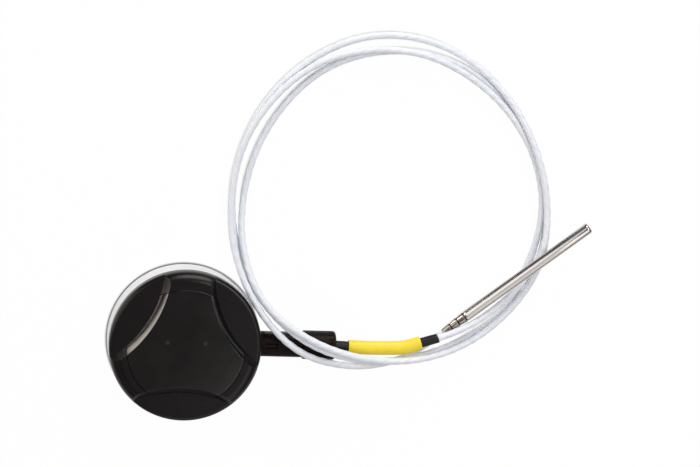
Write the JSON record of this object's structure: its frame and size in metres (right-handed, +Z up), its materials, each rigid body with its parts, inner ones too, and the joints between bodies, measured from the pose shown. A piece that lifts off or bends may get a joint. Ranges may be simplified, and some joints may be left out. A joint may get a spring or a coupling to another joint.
{
  "type": "wireless data logger",
  "caption": "Round wireless data logger lying on its back, black scooped cover on a white base, with a plug-in steel temperature probe on a loosely coiled white cable.",
  "frame": {"origin": "on the surface the logger lies on, under the axis of its round case", "axes": "+Z up out of the window, +X out of the probe socket along the plug, +Y towards the middle of the cable's coil"},
  "size_m": [0.2618, 0.2151, 0.0264],
  "materials": {
    "white_plastic": "fine satin moulding",
    "black_plastic": "fine spark-eroded texture",
    "window_gloss": "polished",
    "light_guide": "clear, polished",
    "seal_rubber": "matt",
    "screw_steel": "zinc plated",
    "board_laminate": "satin solder mask",
    "chip_black": "matt",
    "shield_can": "tinned",
    "lamp_body": "clear lens",
    "cell_can": "plain wrapped can",
    "contact_metal": "plated",
    "plug_plastic": "satin",
    "sleeve_black": "satin shrink tubing",
    "label_yellow": "satin shrink tubing",
    "cable_white": "satin jacket",
    "probe_steel": "polished stainless",
    "element_white": "ceramic body",
    "resin_amber": "cured resin"
  },
  "bodies": {
    "root": {"base_shell": "white_plastic", "battery_cell": "cell_can", "battery_clip_negative": "contact_metal", "battery_clip_positive": "contact_metal", "board_screws": "screw_steel", "case_screws": "screw_steel", "front_cover": "black_plastic", "front_window": "window_gloss", "housing_seal": "seal_rubber", "label_sleeve": "label_yellow", "light_pipe_left": "light_guide", "light_pipe_right": "light_guide", "main_board": "board_laminate", "memory_chip": "chip_black", "microcontroller": "chip_black", "plug_board": "board_laminate", "plug_body": "plug_plastic", "plug_contacts": "contact_metal", "plug_gland_nut": "plug_plastic", "plug_rear_shell": "plug_plastic", "probe_cable": "cable_white", "probe_sheath": "probe_steel", "probe_socket": "plug_plastic", "radio_module": "shield_can", "sensor_element": "element_white", "sensor_leads": "contact_metal", "socket_contacts": "contact_metal", "status_led_left": "lamp_body", "status_led_right": "lamp_body", "strain_sleeve": "sleeve_black", "tip_resin": "resin_amber"}
  },
  "joints": []
}
